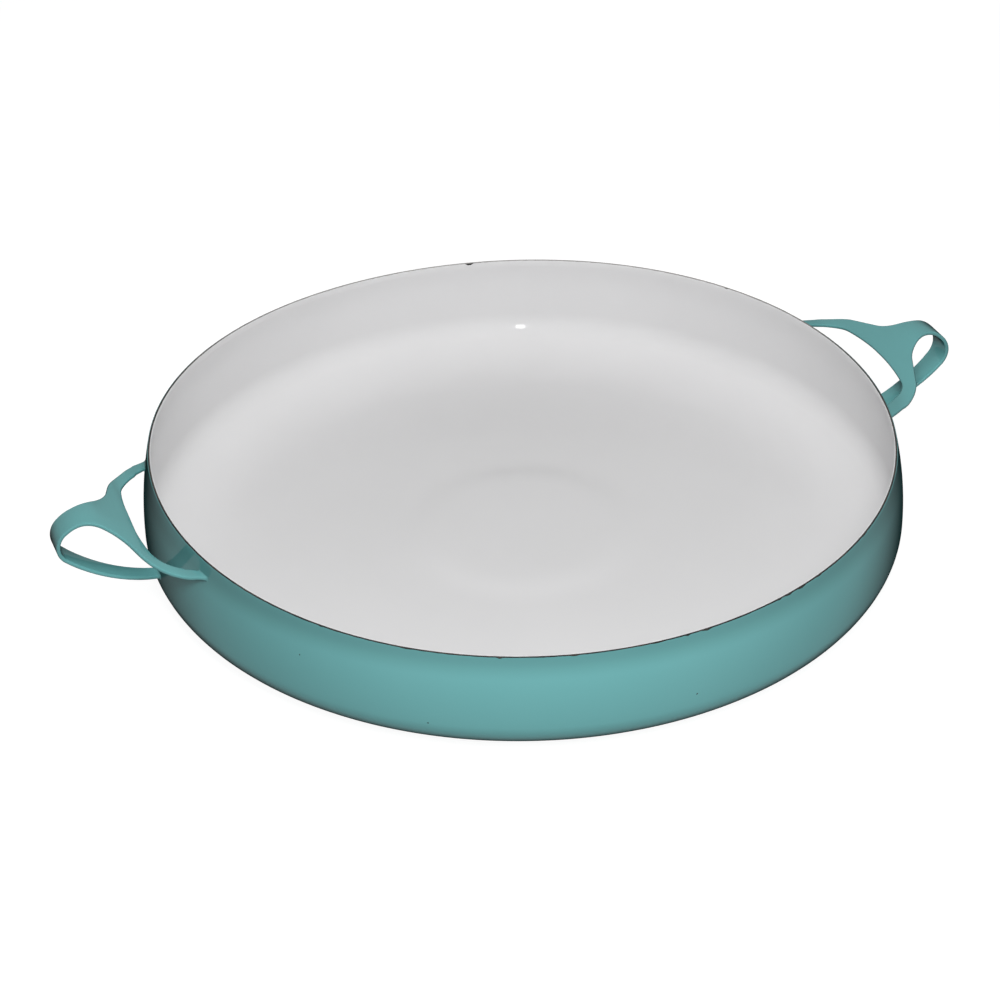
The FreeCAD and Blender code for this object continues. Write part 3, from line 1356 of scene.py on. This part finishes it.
@dataclass(frozen=True)
class SoftLamp:
    """A round lamp that faces the pan and shows no outline in the gloss."""

    lamp: Lamp
    height: float                # degrees above the floor, from the pan
    turn: float                  # degrees about Z, 0 in front of the pan and 90 to its right
    distance: float              # metres from the pan

    def build(self) -> Object:
        """Hang the lamp over the pan.

        Returns:
            The lamp.
        """
        aim = turned_about("Z", self.turn) @ turned_about("X", 90.0 - self.height)
        made = self.lamp.build(aim @ Matrix.Translation((0.0, 0.0, self.distance)))
        made.visible_glossy = False
        return made


@dataclass(frozen=True)
class Studio:
    """A pale floor, a white surround, soft lamps round the pan and a small one by the camera."""

    floor_size: float = 12.0
    floor_tone: float = 0.2
    floor_lift: float = 0.94     # white added to the floor where the camera looks at it
    surround_fill: float = 0.09
    soft_lamps: tuple[SoftLamp, ...] = (
        SoftLamp(Lamp("key_lamp", 4.7, 0.35, 0.35), 42.0, -16.0, 0.95),
        SoftLamp(Lamp("overhead_lamp", 3.8, 0.9, 0.9), 84.0, -20.9, 1.1),
    )
    flash: Lamp = Lamp("flash_lamp", 3.6, 0.07, 0.45)
    flash_gap: float = 0.03      # metres between the camera's middle and the lamp over it

    @staticmethod
    def shown_white(pad: NodePad) -> NodeSocket:
        """Mask the rays that show the white background: seen directly, in gloss or through clear parts.

        Args:
            pad: the nodes of the floor or the world.

        Returns:
            The mask.
        """
        path = pad.add("ShaderNodeLightPath")
        direct = pad.math("MAXIMUM", path.outputs["Is Camera Ray"], path.outputs["Is Transmission Ray"])
        return pad.math("MAXIMUM", direct, path.outputs["Is Glossy Ray"])

    def floor(self) -> Object:
        """Lay the floor, which the camera sees as white with the pan's shadow on it.

        Returns:
            The floor, kept out of the part.
        """
        mesh = bmesh.new()
        bmesh.ops.create_grid(mesh, x_segments=1, y_segments=1, size=self.floor_size / 2)
        data = bpy.data.meshes.new("studio_floor")
        mesh.to_mesh(data)
        mesh.free()
        floor = placed("studio_floor", data)
        made, pad = new_material("pale_floor")
        grain = pad.noise(pad.place(), 3.0, 2.0)
        tone = pad.blend(grain, (self.floor_tone,) * 3, (self.floor_tone + 0.01,) * 3)
        matt = pad.add("ShaderNodeBsdfPrincipled", {
            "Base Color": tone, "Roughness": 0.9, "Specular IOR Level": 0.0})
        glow = pad.add("ShaderNodeEmission", {
            "Color": WHITE, "Strength": pad.math("MULTIPLY", self.shown_white(pad), self.floor_lift)})
        both = pad.add("ShaderNodeAddShader", {0: matt.outputs[0], 1: glow.outputs[0]})
        pad.add("ShaderNodeOutputMaterial", {"Surface": both.outputs[0]})
        data.materials.append(made)
        return floor

    def surround(self) -> None:
        """Make the world: white where it is seen or mirrored, a plain grey fill to the pan."""
        world = bpy.data.worlds.new("studio_surround")
        world.use_nodes = True
        pad = NodePad(world.node_tree)
        fill = pad.add("ShaderNodeBackground", {"Color": WHITE, "Strength": self.surround_fill})
        back = pad.add("ShaderNodeBackground", {"Color": WHITE, "Strength": 1.0})
        shown = pad.add("ShaderNodeMixShader", {
            0: self.shown_white(pad), 1: fill.outputs[0], 2: back.outputs[0]})
        pad.add("ShaderNodeOutputWorld", {"Surface": shown.outputs[0]})
        bpy.context.scene.world = world

    def build(self) -> None:
        """Set the camera, the floor, the surround, the lamps and the colour view."""
        camera = ViewPoint().build()
        self.floor()
        self.surround()
        for lamp in self.soft_lamps:
            lamp.build()
        over_camera = Matrix.Translation((0.0, self.flash.tall / 2 + self.flash_gap, 0.0))
        self.flash.build(camera.matrix_world @ over_camera)
        bpy.context.scene.view_settings.view_transform = "Standard"


@dataclass(frozen=True)
class ViewPoint:
    """The photograph's camera, in metres, degrees and, for its lens, millimetres."""

    place: tuple[float, float, float] = (-0.41438, -1.05198, 0.76038)
    heading: float = -20.9
    pitch_down: float = 33.219
    roll: float = -1.108
    lens: float = 94.507
    sensor: float = 36.0

    def build(self) -> Object:
        """Make the scene's camera.

        Returns:
            The camera.
        """
        data = bpy.data.cameras.new("photo_camera")
        data.lens = self.lens
        data.sensor_width = self.sensor
        data.clip_start = 0.05
        data.clip_end = 50.0
        camera = placed("photo_camera", data)
        turn = turned_about("Z", self.heading) @ turned_about("X", 90.0 - self.pitch_down)
        camera.matrix_world = Matrix.Translation(self.place) @ (turn @ turned_about("Z", self.roll))
        bpy.context.scene.camera = camera
        return camera


def report(piece: Object) -> None:
    """Log one piece with its size in millimetres.

    Args:
        piece: the piece.
    """
    corners = [Vector(corner) for corner in piece.bound_box]
    size = [max(c[axis] for c in corners) - min(c[axis] for c in corners) for axis in range(3)]
    log.info("%s: %.1f x %.1f x %.1f mm", piece.name, *(length / MM for length in size))


def main() -> None:
    """Build the pan, its handles and the studio."""
    logging.basicConfig(level=logging.INFO, format="%(name)s %(message)s")
    finishes = make_finishes()
    for piece in PressedPan().build(finishes):
        report(piece)
    forms = {
        Side.RIGHT: StrapForm(),
        Side.LEFT: StrapForm(shoulder_radius=36.0, neck_radius=26.0, neck_reach=35.2, window_round_share=0.64,
                             bow_fill=0.5),
    }
    for side in Side:
        report(StrapHandle(side, forms[side]).build(finishes))
    Studio().build()
    bpy.context.view_layer.update()


if __name__ == "__main__":
    main()
